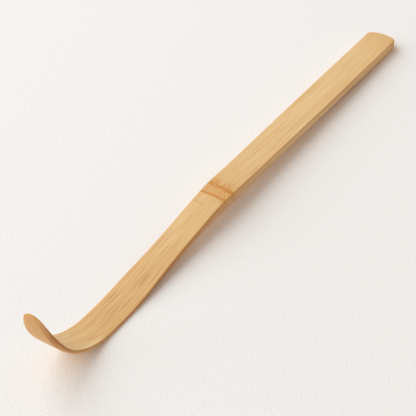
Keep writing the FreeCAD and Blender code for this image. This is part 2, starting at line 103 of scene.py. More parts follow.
@dataclass(frozen=True)
class Span:
    """One straight or curved length of the skin line.

    Args:
        start: where it starts, in mm along the skin from the cut end.
        x: its start in the row frame, in mm.
        z: the height of its start, in mm.
        heading: how steeply it rises at its start, in radians.
        length: its length in mm.
        turn: how much steeper it gets, in radians.
    """

    start: float
    x: float
    z: float
    heading: float
    length: float
    turn: float

    def at(self, along: float) -> tuple[float, float, float]:
        """Find a point of the span.

        Args:
            along: its distance along the skin, in mm.

        Returns:
            Its x and z in mm, and the heading there in radians.
        """
        run = along - self.start
        if not self.turn:
            return (
                self.x - run * math.cos(self.heading),
                self.z + run * math.sin(self.heading),
                self.heading,
            )
        radius = self.length / self.turn
        heading = self.heading + run / radius
        return (
            self.x - radius * (math.sin(heading) - math.sin(self.heading)),
            self.z + radius * (math.cos(self.heading) - math.cos(heading)),
            heading,
        )


@dataclass
class SkinLine:
    """The middle line of the strip's skin side, from the cut end to the tip.

    Lengths are in mm and slopes in degrees, and a slope is how steeply the
    line rises on its way to the tip.
    """

    end_x: float = 91.075
    end_z: float = 3.305
    handle_length: float = 106.25
    handle_slope: float = 1.576
    node_length: float = 3.0
    shaft_length: float = 38.55
    shaft_slope: float = -7.08
    run_radius: float = 74.0
    bend_start_slope: float = 4.4
    bend_radius: float = 22.0
    bend_end_slope: float = 56.7
    curl_radius: float = 40.0
    tip_slope: float = 76.95
    spans: list[Span] = field(init=False)

    def __post_init__(self) -> None:
        """Lay the spans end to end."""
        half_node = self.node_length / 2
        slopes = [self.handle_slope, self.handle_slope, self.shaft_slope, self.shaft_slope]
        slopes += [self.bend_start_slope, self.bend_end_slope, self.tip_slope]
        headings = [math.radians(slope) for slope in slopes]
        lengths = [self.handle_length - half_node, self.node_length, self.shaft_length - half_node]
        radii = (self.run_radius, self.bend_radius, self.curl_radius)
        for radius, start, end in zip(radii, headings[3:], headings[4:]):
            lengths.append(radius * (end - start))
        along, x, z = 0.0, self.end_x, self.end_z
        self.spans = []
        for length, start, end in zip(lengths, headings, headings[1:]):
            span = Span(along, x, z, start, length, end - start)
            self.spans.append(span)
            along += length
            x, z, _ = span.at(along)

    @property
    def length(self) -> float:
        """The whole length of the skin, in mm."""
        return self.spans[-1].start + self.spans[-1].length

    @property
    def starts(self) -> list[float]:
        """Where each span starts, in mm along the skin."""
        return [span.start for span in self.spans]

    def at(self, along: float) -> tuple[float, float, float]:
        """Return x, z and the heading at a distance along the skin."""
        index = max(0, bisect_right(self.starts, along) - 1)
        return self.spans[index].at(along)

    def along_at_height(self, height: float) -> float:
        """Find where the curl reaches a height.

        Args:
            height: the height above the table, in mm.

        Returns:
            The distance along the skin, in mm.
        """
        curl = self.spans[-1]
        cosine = math.cos(curl.heading) - (height - curl.z) / self.curl_radius
        return curl.start + self.curl_radius * (math.acos(cosine) - curl.heading)


@dataclass
class RoundEnd:
    """The rounded outline at one end of the strip, seen square on.

    The reach is measured outwards, and is 0 at the foremost point.

    Args:
        side: half the width where the rounding starts, in mm.
        nose: the radius of the middle of the end, in mm.
        corner: the radius that joins the side to the nose, in mm.
        blend: how far back the rows of the mesh start to bow, in mm.
        turn: which way the outline faces where the last row meets it, in degrees.
    """

    side: float
    nose: float
    corner: float
    blend: float
    turn: float = 45.0

    def __post_init__(self) -> None:
        """Find the centres of the arcs and the points where they meet."""
        self.nose_reach = -self.nose
        self.corner_across = self.side - self.corner
        gap = math.sqrt((self.nose - self.corner) ** 2 - self.corner_across ** 2)
        self.corner_reach = self.nose_reach + math.copysign(gap, self.nose - self.corner)
        run = self.corner_reach - self.nose_reach
        rise = self.corner_across
        if run < 0:
            run, rise = -run, -rise
        self.meeting = math.atan2(rise, run)
        self.turn_reach, self.turn_across = self.point(math.radians(self.turn))

    def point(self, angle: float) -> tuple[float, float]:
        """Find the point where the outline faces an angle.

        Args:
            angle: 0 straight ahead, and a quarter turn at the side, in radians.

        Returns:
            The point's reach and its distance from the middle line, in mm.
        """
        if angle <= self.meeting:
            reach, across, radius = self.nose_reach, 0.0, self.nose
        else:
            reach, across, radius = self.corner_reach, self.corner_across, self.corner
        return reach + radius * math.cos(angle), across + radius * math.sin(angle)

    def half_width(self, reach: float) -> float:
        """Return half the width of the rounded end.

        Args:
            reach: where it is asked for, past the start of the rounding.

        Returns:
            Half the width, in mm.
        """
        meeting_reach, _ = self.point(self.meeting)
        if reach <= meeting_reach:
            inside = self.corner ** 2 - (reach - self.corner_reach) ** 2
            return self.corner_across + math.sqrt(max(0.0, inside))
        return math.sqrt(max(0.0, self.nose ** 2 - (reach - self.nose_reach) ** 2))

    def front(self, across: float) -> float:
        """Return how far the outline reaches.

        Args:
            across: the distance from the middle line, in mm.

        Returns:
            The outline's reach there, in mm.
        """
        _, meeting_across = self.point(self.meeting)
        if abs(across) <= meeting_across:
            return self.nose_reach + math.sqrt(self.nose ** 2 - across ** 2)
        inside = self.corner ** 2 - (abs(across) - self.corner_across) ** 2
        return self.corner_reach + math.sqrt(max(0.0, inside))

    def bowed(self, reach: float, spread: float) -> float:
        """Return the reach of a point whose row bows out towards the end.

        Args:
            reach: where the point's row meets the side.
            spread: how far across the row it lies, from -1 to 1.

        Returns:
            The reach of the point, in mm.
        """
        share = max(0.0, 1 + (reach - self.turn_reach) / self.blend)
        return reach + share ** 2 * (self.front(spread * self.turn_across) - self.turn_reach)

    def inside(self, reach: float, across: float) -> tuple[float, float, float]:
        """Tell how far a point lies inside the outline, and which way out is.

        Args:
            reach: the point's reach.
            across: its distance from the middle line, with its sign.

        Returns:
            The depth inside, and the outward direction's reach and across.
        """
        sign = math.copysign(1.0, across)
        if reach <= self.corner_reach:
            return self.side - abs(across), 0.0, sign
        run, rise = reach - self.corner_reach, abs(across) - self.corner_across
        radius = self.corner
        if math.atan2(rise, run) < self.meeting:
            run, rise, radius = reach - self.nose_reach, abs(across), self.nose
        distance = max(SHORTEST, math.hypot(run, rise))
        return radius - distance, run / distance, sign * rise / distance


@dataclass(frozen=True)
class Edge:
    """How softly an edge of the strip is rounded.

    Args:
        inset: how far in from the side the rounding reaches, in mm.
        drop: how far down from the face it reaches, in mm.
        fullness: 2 for a round edge, and 1 for a flat bevel.
    """

    inset: float
    drop: float
    fullness: float = 2.0

    def mixed(self, other: "Edge", share: float) -> "Edge":
        """Return an edge that share of the way to another edge."""
        return Edge(
            between(self.inset, other.inset, share),
            between(self.drop, other.drop, share),
            between(self.fullness, other.fullness, share),
        )

    def rounded(self, inside: float, depth: float) -> tuple[float, float]:
        """Move a point of the sharp edge onto the rounded one.

        Args:
            inside: the point's distance in from the side, in mm.
            depth: its distance from the face, in mm.

        Returns:
            The same two distances on the rounded edge.
        """
        if inside >= self.inset or depth >= self.drop:
            return inside, depth
        run = (self.inset - inside) / self.inset
        rise = (self.drop - depth) / self.drop
        size = (run ** self.fullness + rise ** self.fullness) ** (1 / self.fullness)
        return self.inset * (1 - run / size), self.drop * (1 - rise / size)


@dataclass(frozen=True)
class Node:
    """The low ridge and the two scars where a culm wall stood.

    Distances are in mm towards the scoop from where the handle's line and
    the shaft's line meet.
    """

    ridge_start: float = 1.2
    ridge_peak: float = -6.5
    ridge_end: float = -18.0
    ridge_height: float = 0.24
    side_height: float = 0.16
    upper_scar: float = -5.86
    lower_scar: float = -1.9
    scar_width: float = 0.5
    scar_depth: float = 0.04

    def relief(self, past: float) -> float:
        """Return how much of the ridge's height stands.

        Args:
            past: the distance past the node, in mm.

        Returns:
            A share from 0 to 1.
        """
        if past > self.ridge_peak:
            return ease((self.ridge_start - past) / (self.ridge_start - self.ridge_peak))
        return ease((past - self.ridge_end) / (self.ridge_peak - self.ridge_end))

    def groove(self, past: float) -> float:
        """Return how deep the scars are cut.

        Args:
            past: the distance past the node, in mm.

        Returns:
            The depth in mm.
        """
        depth = 0.0
        for scar in (self.upper_scar, self.lower_scar):
            depth += self.scar_depth * ease(1 - abs(past - scar) / self.scar_width)
        return depth


@dataclass(frozen=True)
class Foot:
    """Where a point of the mesh stands before the edges are rounded.

    Args:
        along: its distance along the skin, in mm.
        across: its distance from the middle line, in mm, with its sign.
        half_width: half the strip's width there, in mm.
        inside: how far in from the outline it lies, in mm.
        out_along: how far along the strip a step of 1 mm outwards goes.
        out_across: how far across the strip it goes.
        facing: how much the outline faces along the strip, 0 to 1.
        on_handle: whether it is on the handle's side of the node.
    """

    along: float
    across: float
    half_width: float
    inside: float
    out_along: float
    out_across: float
    facing: float
    on_handle: bool


@dataclass
class BambooStrip:
    """The whole scoop: a bamboo strip, carved, thinned behind and bent.

    Sizes are in mm in the row frame. They repeat the CAD part's sizes.
    """

    skin: SkinLine = field(default_factory=SkinLine)
    node: Node = Node()

    # the arch under the handle, and the back scraped thin towards the tip
    crest_x: float = -13.125
    foot_x: float = 85.217
    arch_height: float = 2.848
    shaft_root_thickness: float = 2.7
    shaft_end_thickness: float = 1.1
    heel_thickness: float = 0.92
    bend_start_thickness: float = 1.07
    bend_end_thickness: float = 1.5
    tip_thickness: float = 0.6
    knee_round: float = 0.12

    # the outline, seen from above
    end_width: float = 9.608
    swell: float = 0.21
    node_width: float = 8.3
    node_margin: float = 2.0
    waist_width: float = 8.048
    scoop_width: float = 9.3
    waist_at: float = 121.8
    flare_end_at: float = 152.1
    end_nose: float = 13.0
    end_corner: float = 2.6
    end_blend: float = 8.0
    tip_nose: float = 3.0
    tip_corner: float = 28.2
    tip_blend: float = 9.0

    # the edges, and the crown of the skin
    skin_edge: Edge = Edge(0.2, 0.2)
    back_edge: Edge = Edge(0.35, 0.35)
    cut_skin_edge: Edge = Edge(0.7, 0.9)
    cut_back_edge: Edge = Edge(2.7, 2.3, 1.7)
    cut_bulge: float = 0.3
    curl_right_edge: Edge = Edge(2.2, 0.95, 1.3)
    curl_left_edge: Edge = Edge(0.8, 0.5, 1.7)
    curl_edge_before: float = 12.0
    curl_edge_growth: float = 16.0
    tip_back_edge: Edge = Edge(1.5, 0.4, 1.5)
    deepest_edge: float = 0.7
    crown: float = 0.08

    # the mesh, and how much its fibres spread with the width
    first_row: float = 0.03
    shortest_last_row: float = 0.045
    row_growth: float = 1.16
    longest_row: float = 0.8
    bend_row: float = 0.4
    node_row: float = 0.16
    columns: int = 44
    wall_cuts: int = 12
    back_from_layer: float = 0.3
    least_slope: float = 0.5
    least_half_width: float = 1.0
    fibre_spread: float = 0.5

    def __post_init__(self) -> None:
        """Draw the two ends and lay out the rows of the mesh."""
        self.cut_end = RoundEnd(self.end_width / 2, self.end_nose, self.end_corner, self.end_blend)
        self.tip_end = RoundEnd(self.scoop_width / 2, self.tip_nose, self.tip_corner, self.tip_blend)
        _, self.tip_z, _ = self.skin.at(self.skin.length)
        self.node_at = self.skin.handle_length
        self.handle_end = self.node_at - self.node_margin
        self.rows = self.row_places()

    def row_step(self, along: float, first: float, last: float) -> float:
        """Return how long a row of faces is.

        Args:
            along: where the row starts, in mm along the skin.
            first: where the first row starts.
            last: where the last row ends.

        Returns:
            The row's length in mm.
        """
        from_end = min(along - first, last - along)
        step = self.first_row + max(0.0, from_end) * (self.row_growth - 1)
        past = along - self.node_at
        start, end = self.node.ridge_end - self.node_margin, self.node.ridge_start + self.node_margin
        if start < past < end:
            step = min(step, self.node_row)
        if along > self.flare_end_at:
            step = min(step, self.bend_row)
        return min(step, self.longest_row)

    def row_places(self) -> list[float]:
        """Lay out the rows from the cut end to the tip.

        Returns:
            Where each row meets the strip's sides, in mm along it.
        """
        first = -self.cut_end.turn_reach
        last = self.skin.along_at_height(self.tip_z + self.tip_end.turn_reach)
        places = [first]
        while last - places[-1] > self.shortest_last_row:
            places.append(places[-1] + self.row_step(places[-1], first, last))
        places[-1] = last
        return places

    def side_half_width(self, along: float) -> float:
        """Return half the width between the two rounded ends.

        Args:
            along: the distance along the skin, in mm.

        Returns:
            Half the width, in mm.
        """
        node, waist, full = self.node_width / 2, self.waist_width / 2, self.scoop_width / 2
        if along < self.handle_end:
            share = (self.handle_end - along) / (self.handle_end + self.cut_end.corner_reach)
            return between(node, self.end_width / 2, share) + 4 * self.swell * share * (1 - share)
        if along < self.waist_at:
            share = (self.waist_at - along) / (self.waist_at - self.handle_end)
            return between(waist, node, share ** 2)
        share = min(1.0, (along - self.waist_at) / (self.flare_end_at - self.waist_at))
        bow = 2 * share ** 2 if share < 0.5 else 1 - 2 * (1 - share) ** 2
        return between(waist, full, bow)

    def thickness(self, along: float) -> float:
        """Return the thickness square to the skin.

        Args:
            along: the distance along the skin, in mm.

        Returns:
            The thickness, in mm.
        """
        x, z, heading = self.skin.at(along)
        run, bend, curl = self.skin.spans[3:]
        reach = (x - self.crest_x) / (self.foot_x - self.crest_x)
        arched = (z - self.arch_height * max(0.0, 1 - reach ** 2)) / math.cos(heading)
        if along < self.node_at:
            return arched
        if along < run.start:
            share = (along - self.node_at) / (run.start - self.node_at)
            line = between(self.shaft_root_thickness, self.shaft_end_thickness, share)
            gap = arched - line
            return line + (gap + math.sqrt(gap ** 2 + self.knee_round ** 2)) / 2
        if along < bend.start:
            middle = run.length / 2
            if along < run.start + middle:
                share = ease((along - run.start) / middle)
                return between(self.shaft_end_thickness, self.heel_thickness, share)
            share = ease((along - run.start - middle) / middle)
            return between(self.heel_thickness, self.bend_start_thickness, share)
        if along < curl.start:
            share = (1 - math.cos(math.pi * (along - bend.start) / bend.length)) / 2
            return between(self.bend_start_thickness, self.bend_end_thickness, share)
        share = (along - curl.start) / curl.length
        return between(self.bend_end_thickness, self.tip_thickness, share ** 2)

    def edge(self, foot: Foot, back: bool, left: bool) -> Edge:
        """Return how the edge is rounded near a point.

        Args:
            foot: where the point stands.
            back: whether it is the edge of the back, not of the skin.
            left: whether it is on the left side.

        Returns:
            The edge's sizes.
        """
        if foot.on_handle:
            side, end = self.skin_edge, self.cut_skin_edge
            if back:
                side, end = self.back_edge, self.cut_back_edge
            return side.mixed(end, ease(foot.facing))
        if not back:
            return self.skin_edge
        curl = self.skin.spans[-1]
        share = ease((foot.along - curl.start + self.curl_edge_before) / self.curl_edge_growth)
        side = self.back_edge.mixed(self.curl_left_edge if left else self.curl_right_edge, share)
        return side.mixed(self.tip_back_edge, ease((foot.along - curl.start) / curl.length))

    def foot(self, side_along: float, spread: float) -> Foot:
        """Find where a point stands before the edges are rounded.

        Args:
            side_along: where its row meets the strip's sides, in mm along it.
            spread: how far across the row it lies, from -1 to 1.

        Returns:
            The point's place on the sharp outline.
        """
        _, z, slope = self.skin.at(side_along)
        on_handle = side_along < self.node_at
        if on_handle:
            end, reach, per_reach = self.cut_end, -side_along, -1.0
        else:
            end, reach = self.tip_end, z - self.tip_z
            per_reach = 1 / math.sin(max(self.least_slope, slope))
            if side_along < self.skin.spans[-1].start:
                reach = min(reach, end.corner_reach)
        in_rounding = reach > end.corner_reach
        half_width = self.side_half_width(side_along)
        half_width += self.node.side_height * self.node.relief(side_along - self.node_at)
        if in_rounding:
            half_width = end.half_width(reach)
        across = spread * half_width
        reach = end.bowed(reach, spread)
        inside, out_reach, out_across = end.inside(reach, across)
        if not in_rounding:
            inside, out_reach, out_across = half_width - abs(across), 0.0, math.copysign(1.0, across)
        along = side_along
        if on_handle:
            along = -reach
        elif in_rounding:
            along = self.skin.along_at_height(self.tip_z + reach)
        out_along = per_reach * out_reach
        return Foot(along, across, half_width, inside, out_along, out_across, abs(out_reach), on_handle)

    def lift(self, past: float, spread: float, layer: float) -> float:
        """Return how far the node and the crown lift a point off the skin line.

        Args:
            past: the point's distance past the node, in mm.
            spread: how far across the strip it lies, from -1 to 1.
            layer: 0 on the skin and 1 on the back.

        Returns:
            The lift in mm.
        """
        lift = self.node.ridge_height * self.node.relief(past)
        lift -= self.node.groove(past) * (1 - layer)
        lift -= self.crown * spread ** 2
        return lift * (1 - layer)

    def place(self, row: float, column: float, layer: float) -> tuple[Vector, Vector, Vector]:
        """Place one point of the mesh.

        Args:
            row: 0 at the cut end and 1 at the tip.
            column: -1 at the right side and 1 at the left side.
            layer: 0 on the skin and 1 on the back.

        Returns:
            The point in mm, where it lies in the bamboo (along, across and
            deep, in mm), and its inset from the side with its layer.
        """
        spread = math.sin(column * math.pi / 2)
        foot = self.foot(self.rows[round(row * (len(self.rows) - 1))], spread)
        inside = 0.0 if 0 < layer < 1 else max(0.0, foot.inside)
        thick = self.thickness(foot.along)
        deep = thick * (1 - math.cos(math.pi * layer)) / 2
        back = layer > self.back_from_layer
        edge = self.edge(foot, back, spread > 0)
        edge = Edge(edge.inset, min(edge.drop, thick * self.deepest_edge), edge.fullness)
        new_inside, depth = edge.rounded(inside, thick - deep if back else deep)
        shift = inside - new_inside
        if foot.on_handle:
            shift += self.cut_bulge * math.sin(math.pi * layer) * foot.facing
        along = foot.along + foot.out_along * shift
        across = foot.across + foot.out_across * shift
        deep = thick - depth if back else depth
        reached = across / max(foot.half_width, self.least_half_width)
        height = self.lift(along - self.node_at, reached, layer) - deep
        x, z, heading = self.skin.at(along)
        point = Vector((x + math.sin(heading) * height, across, z + math.cos(heading) * height))
        point.z = max(point.z, 0.0)
        fibre_across = between(across, spread * self.scoop_width / 2, self.fibre_spread)
        return point, Vector((along, fibre_across, deep)), Vector((inside, layer, 0.0))

    def mesh(self, name: str) -> bpy.types.Mesh:
        """Shape the strip's mesh.

        Args:
            name: the mesh's name.

        Returns:
            A closed mesh in metres, with its fibres stored as attributes.
        """
        bm = bmesh.new()
        bmesh.ops.create_grid(bm, x_segments=len(self.rows) - 1, y_segments=self.columns, size=1.0)
        bmesh.ops.translate(bm, verts=bm.verts[:], vec=(0, 0, 1))
        lifted = bmesh.ops.extrude_face_region(bm, geom=bm.faces[:])
        top = [item for item in lifted["geom"] if isinstance(item, bmesh.types.BMVert)]
        bmesh.ops.translate(bm, verts=top, vec=(0, 0, -1))
        upright = [edge for edge in bm.edges if edge.verts[0].co.z != edge.verts[1].co.z]
        bmesh.ops.subdivide_edges(bm, edges=upright, cuts=self.wall_cuts, use_grid_fill=True)
        fibre = bm.verts.layers.float_vector.new("fibre")
        place = bm.verts.layers.float_vector.new("place")
        for vert in bm.verts:
            point, grain, spot = self.place((vert.co.x + 1) / 2, vert.co.y, vert.co.z)
            vert.co = point * MM
            vert[fibre] = grain
            vert[place] = spot
        bmesh.ops.recalc_face_normals(bm, faces=bm.faces[:])
        for face in bm.faces:
            face.smooth = True
        mesh = bpy.data.meshes.new(name)
        bm.to_mesh(mesh)
        bm.free()
        return mesh

    def build(self) -> bpy.types.Object:
        """Build the strip, dress it and tie it to the CAD solid.

        Returns:
            The finished strip.
        """
        piece = bpy.data.objects.new("bamboo_strip", self.mesh("bamboo_strip"))
        bpy.context.scene.collection.objects.link(piece)
        piece.data.materials.append(BambooFinish().material(self.node_at, self.node))
        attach(piece, "root")
        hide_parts("scoop")
        return piece


# Finishes


class NodeTree:
    """The nodes of one material or of the world."""

    def __init__(self, tree: bpy.types.NodeTree) -> None:
        """Start from an empty tree."""
        self.tree = tree
        self.tree.nodes.clear()

    def add(
        self, kind: str, inputs: dict, stops: list | None = None, **settings: object
    ) -> bpy.types.NodeSocket:
        """Add a node, set it up and link it.

        Args:
            kind: the node's type.
            inputs: a value or an output socket for each input, by name or number.
            stops: the places and colours of a colour ramp.
            settings: the node's own settings.

        Returns:
            The node's first output in use, or its first input for an output node.
        """
        node = self.tree.nodes.new(kind)
        for key, value in settings.items():
            setattr(node, key, value)
        for key, value in inputs.items():
            if isinstance(value, bpy.types.NodeSocket):
                self.tree.links.new(value, node.inputs[key])
            else:
                node.inputs[key].default_value = value
        for index, (place, shade) in enumerate(stops or []):
            node.color_ramp.elements[index].position = place
            node.color_ramp.elements[index].color = shade
        in_use = [out for out in node.outputs if out.enabled]
        return in_use[0] if in_use else node.inputs[0]


@dataclass(frozen=True)
class Fade:
    """A soft change of a mask as something goes from a start to an end.

    Args:
        start: where the change starts.
        end: where it ends, which may be before the start.
        low: how much shows at the start.
        high: how much shows at the end.
    """

    start: float
    end: float
    low: float = 0.0
    high: float = 1.0

    def mask(
        self, tree: NodeTree, value: bpy.types.NodeSocket, origin: float = 0.0
    ) -> bpy.types.NodeSocket:
        """Draw the change of a value.

        Args:
            tree: the node tree.
            value: what goes from the start to the end.
            origin: the value that the start and the end are counted from.

        Returns:
            How much shows.
        """
        (first, before), (last, after) = sorted(((self.start, self.low), (self.end, self.high)))
        return tree.add(
            "ShaderNodeMapRange",
            {
                "Value": value,
                "From Min": origin + first,
                "From Max": origin + last,
                "To Min": before,
                "To Max": after,
            },
            interpolation_type="SMOOTHSTEP",
        )


@dataclass(frozen=True)
class Streaks:
    """A pattern drawn out along the fibres.

    Args:
        length: how long a streak is, in mm.
        width: how wide it is, in mm.
        start: how strong the noise is where a streak starts to show.
        full: how strong it is where the streak shows fully.
        strength: how much of its colour a full streak shows.
        shift: where the pattern is cut out of the noise.
        detail: how many finer layers of noise it has.
        roughness: how strong the finer layers are.
    """

    length: float
    width: float
    start: float = 0.0
    full: float = 1.0
    strength: float = 1.0
    shift: tuple[float, float, float] = (0.0, 0.0, 0.0)
    detail: float = 3.0
    roughness: float = 0.6

    def mask(self, tree: NodeTree, fibre: bpy.types.NodeSocket) -> bpy.types.NodeSocket:
        """Draw the pattern.

        Args:
            tree: the node tree.
            fibre: where a point lies in the fibres.

        Returns:
            How strongly the pattern shows.
        """
        scale = (1 / self.length, 1 / self.width, 1 / self.width)
        drawn = tree.add("ShaderNodeMapping", {"Vector": fibre, "Scale": scale, "Location": self.shift})
        noise = tree.add(
            "ShaderNodeTexNoise",
            {"Vector": drawn, "Scale": 1.0, "Detail": self.detail, "Roughness": self.roughness},
        )
        return tree.add(
            "ShaderNodeMapRange",
            {"Value": noise, "From Min": self.start, "From Max": self.full, "To Max": self.strength},
        )


@dataclass(frozen=True)
class Tones:
    """The two tones of a streaked wood.

    Args:
        dark: the colour of the dark fibres.
        light: the colour of the light fibres.
        dark_at: how strong the streaks are where the dark tone ends.
        light_at: how strong they are where the light tone starts.
    """

    dark: str
    light: str
    dark_at: float
    light_at: float

    @property
    def stops(self) -> list[tuple]:
        """The places and colours of a colour ramp."""
        return [(self.dark_at, colour(self.dark)), (self.light_at, colour(self.light))]


@dataclass
class Coat:
    """A colour that is built up in layers.

    Args:
        tree: the node tree.
        shade: the colour so far.
    """

    tree: NodeTree
    shade: bpy.types.NodeSocket

    def lay(self, mask: bpy.types.NodeSocket, hex_code: str, blend: Blend = Blend.COVER) -> None:
        """Lay a colour over the coat where a mask shows.

        Args:
            mask: how much of the new colour shows.
            hex_code: the colour.
            blend: how the colour is laid over what is below it.
        """
        self.shade = self.tree.add(
            "ShaderNodeMix",
            {FACTOR: mask, COLOUR_A: self.shade, COLOUR_B: colour(hex_code)},
            data_type="RGBA",
            blend_type=blend.value,
        )

    def cover(self, mask: bpy.types.NodeSocket, other: "Coat") -> None:
        """Lay another coat over this one where a mask shows.

        Args:
            mask: how much of the other coat shows.
            other: the other coat.
        """
        self.shade = self.tree.add(
            "ShaderNodeMix",
            {FACTOR: mask, COLOUR_A: self.shade, COLOUR_B: other.shade},
            data_type="RGBA",
        )


@dataclass
class Grain:
    """Where a point lies in the bamboo, as sockets of a node tree.

    Args:
        tree: the node tree.
        node_at: how far the node is from the cut end, in mm.
        wave: the slow wave of the fibres.
        wave_middle: how strong its noise is where the fibres lie straight.
        wave_before: how wide the wave is before the node, in mm.
        wave_after: what share of it is left past the node.
    """

    tree: NodeTree
    node_at: float
    wave: Streaks = Streaks(14.0, 2.6, detail=1.0)
    wave_middle: float = 0.5
    wave_before: Fade = Fade(-12.0, -5.0, 0.35, 1.6)
    wave_after: Fade = Fade(0.0, 14.0, 1.0, 0.22)

    def __post_init__(self) -> None:
        """Read the strip's two attributes and bend the fibres at the node."""
        tree = self.tree
        straight = tree.add("ShaderNodeAttribute", {}, attribute_name="fibre").node.outputs["Vector"]
        place = tree.add("ShaderNodeAttribute", {}, attribute_name="place").node.outputs["Vector"]
        self.along = tree.add("ShaderNodeSeparateXYZ", {0: straight})
        self.across = self.along.node.outputs[1]
        self.deep = self.along.node.outputs[2]
        self.inset = tree.add("ShaderNodeSeparateXYZ", {0: place})
        self.layer = self.inset.node.outputs[1]
        self.past = tree.add("ShaderNodeMath", {0: self.along, 1: self.node_at}, operation="SUBTRACT")
        self.fibre = self.bent(straight)

    def bent(self, straight: bpy.types.NodeSocket) -> bpy.types.NodeSocket:
        """Return the fibres' place with a slow wave that grows at the node.

        Args:
            straight: the place in straight fibres.

        Returns:
            The place in the waving fibres.
        """
        tree = self.tree
        wave = {0: self.wave.mask(tree, straight), 1: self.wave_middle}
        swing = tree.add("ShaderNodeMath", wave, operation="SUBTRACT")
        width = self.fade(self.past, self.wave_before, self.wave_after)
        aside = tree.add("ShaderNodeCombineXYZ", {"Y": self.all_of(swing, width)})
        return tree.add("ShaderNodeVectorMath", {0: straight, 1: aside}, operation="ADD")

    def folded(self, operation: str, values: tuple[bpy.types.NodeSocket, ...]) -> bpy.types.NodeSocket:
        """Return the values joined one by one by a math operation.

        Args:
            operation: the operation of the math node.
            values: the masks or distances.

        Returns:
            The one value that they give together.
        """
        whole = values[0]
        for value in values[1:]:
            whole = self.tree.add("ShaderNodeMath", {0: whole, 1: value}, operation=operation)
        return whole

    def all_of(self, *masks: bpy.types.NodeSocket) -> bpy.types.NodeSocket:
        """Return a mask that shows where every one of the masks shows."""
        return self.folded("MULTIPLY", masks)

    def sum_of(self, *parts: bpy.types.NodeSocket) -> bpy.types.NodeSocket:
        """Return the sum of the masks or distances."""
        return self.folded("ADD", parts)

    def fade(
        self, value: bpy.types.NodeSocket, *changes: Fade, origin: float = 0.0
    ) -> bpy.types.NodeSocket:
        """Return a mask that shows where every one of a value's changes shows."""
        return self.all_of(*(change.mask(self.tree, value, origin) for change in changes))

    def drawn(self, streaks: Streaks) -> bpy.types.NodeSocket:
        """Return how strongly a pattern of the fibres shows."""
        return streaks.mask(self.tree, self.fibre)

    def coat(self, streaks: Streaks, tones: Tones) -> Coat:
        """Start a coat of streaked wood in two tones."""
        ramp = self.tree.add("ShaderNodeValToRGB", {0: self.drawn(streaks)}, stops=tones.stops)
        return Coat(self.tree, ramp)


@dataclass(frozen=True)
class ScarFinish:
    """The two brown scars of the node and the band between them.

    Where the culm's wall stood, the fibres end and the pith stains them, so
    the scars are dull orange-brown lines and the band is dotted. Places are
    in mm towards the scoop, from the upper scar or from the lower one.
    """

    brown: str = "C97F22"
    band: str = "DBA766"
    on_skin: Fade = Fade(0.3, 0.05, 0.15, 1.0)

    # both lines lie a little aslant and waver
    waver: Streaks = Streaks(5.0, 1.3)
    slant: Fade = Fade(-4.2, 4.2, -0.6, 0.1)
    ragged: Fade = Fade(0.25, 0.75, -0.25, 0.25)
    crisp: Fade = Fade(0.2, 0.8, -0.18, 0.18)

    # the band, with short dark fibre ends
    band_from_upper: Fade = Fade(0.0, 0.5)
    band_to_lower: Fade = Fade(0.0, -0.5)
    band_cover: Fade = Fade(3.0, -3.0, 0.75, 0.9)
    dots: Streaks = Streaks(0.7, 0.45, 0.57, 0.65, 0.8, (4.0, 2.0, 9.0), 0.0)

    # the upper scar is patchy, frays into the handle and is darkest at the right
    frayed: Streaks = Streaks(4.0, 0.4, 0.44, 0.6, 0.9, (6.0, 6.0, 2.0), 1.0)
    frayed_from_upper: Fade = Fade(-5.0, -0.8)
    frayed_to_upper: Fade = Fade(0.5, 0.0)
    upper_from: Fade = Fade(-1.5, -0.3)
    upper_to: Fade = Fade(0.8, 0.1)
    upper_patches: Streaks = Streaks(1.6, 0.8, 0.3, 0.6, 0.6, (9.0, 4.0, 5.0))
    upper_right: Fade = Fade(-1.2, -3.8, 0.45, 0.9)

    # the lower scar is crisp, and stains the shaft at its right end
    lower_from: Fade = Fade(-0.6, -0.1, 0.0, 0.85)
    lower_to: Fade = Fade(0.8, 0.2)
    stain_from_lower: Fade = Fade(0.0, 0.4)
    stain_to_lower: Fade = Fade(2.6, 0.4, 0.0, 0.5)
    stain_right: Fade = Fade(-2.2, -3.6)

    # a faint line crosses the left half of the shaft just below
    faint_from_lower: Fade = Fade(3.4, 4.2, 0.0, 0.3)
    faint_to_lower: Fade = Fade(5.2, 4.4)
    faint_left: Fade = Fade(-1.0, 1.5)

    def lay(self, grain: Grain, coat: Coat, node: Node) -> None:
        """Draw the scars and the band over the coat.

        Args:
            grain: where a point lies in the bamboo.
            coat: the colour that the scars are drawn on.
            node: the sizes of the node.
        """
        across, upper, lower = grain.across, node.upper_scar, node.lower_scar
        waver = grain.drawn(self.waver)
        slant = grain.fade(across, self.slant)
        rough = grain.sum_of(grain.past, slant, grain.fade(waver, self.ragged))
        clean = grain.sum_of(grain.past, grain.fade(waver, self.crisp))
        band = grain.all_of(
            grain.fade(rough, self.band_from_upper, origin=upper),
            grain.fade(clean, self.band_to_lower, origin=lower),
        )
        frayed = grain.fade(rough, self.frayed_from_upper, self.frayed_to_upper, origin=upper)
        upper_line = grain.fade(rough, self.upper_from, self.upper_to, origin=upper)
        lower_line = grain.fade(clean, self.lower_from, self.lower_to, origin=lower)
        stain = grain.fade(clean, self.stain_from_lower, self.stain_to_lower, origin=lower)
        faint = grain.fade(rough, self.faint_from_lower, self.faint_to_lower, origin=lower)
        layers = (
            (self.band, band, grain.fade(across, self.band_cover)),
            (self.brown, band, grain.drawn(self.dots)),
            (self.brown, frayed, grain.drawn(self.frayed)),
            (self.brown, upper_line, grain.drawn(self.upper_patches)),
            (self.brown, upper_line, grain.fade(across, self.upper_right)),
            (self.brown, lower_line),
            (self.brown, stain, grain.fade(across, self.stain_right)),
            (self.brown, faint, grain.fade(across, self.faint_left)),
        )
        on_skin = grain.fade(grain.layer, self.on_skin)
        for hex_code, *masks in layers:
            coat.lay(grain.all_of(*masks, on_skin), hex_code)


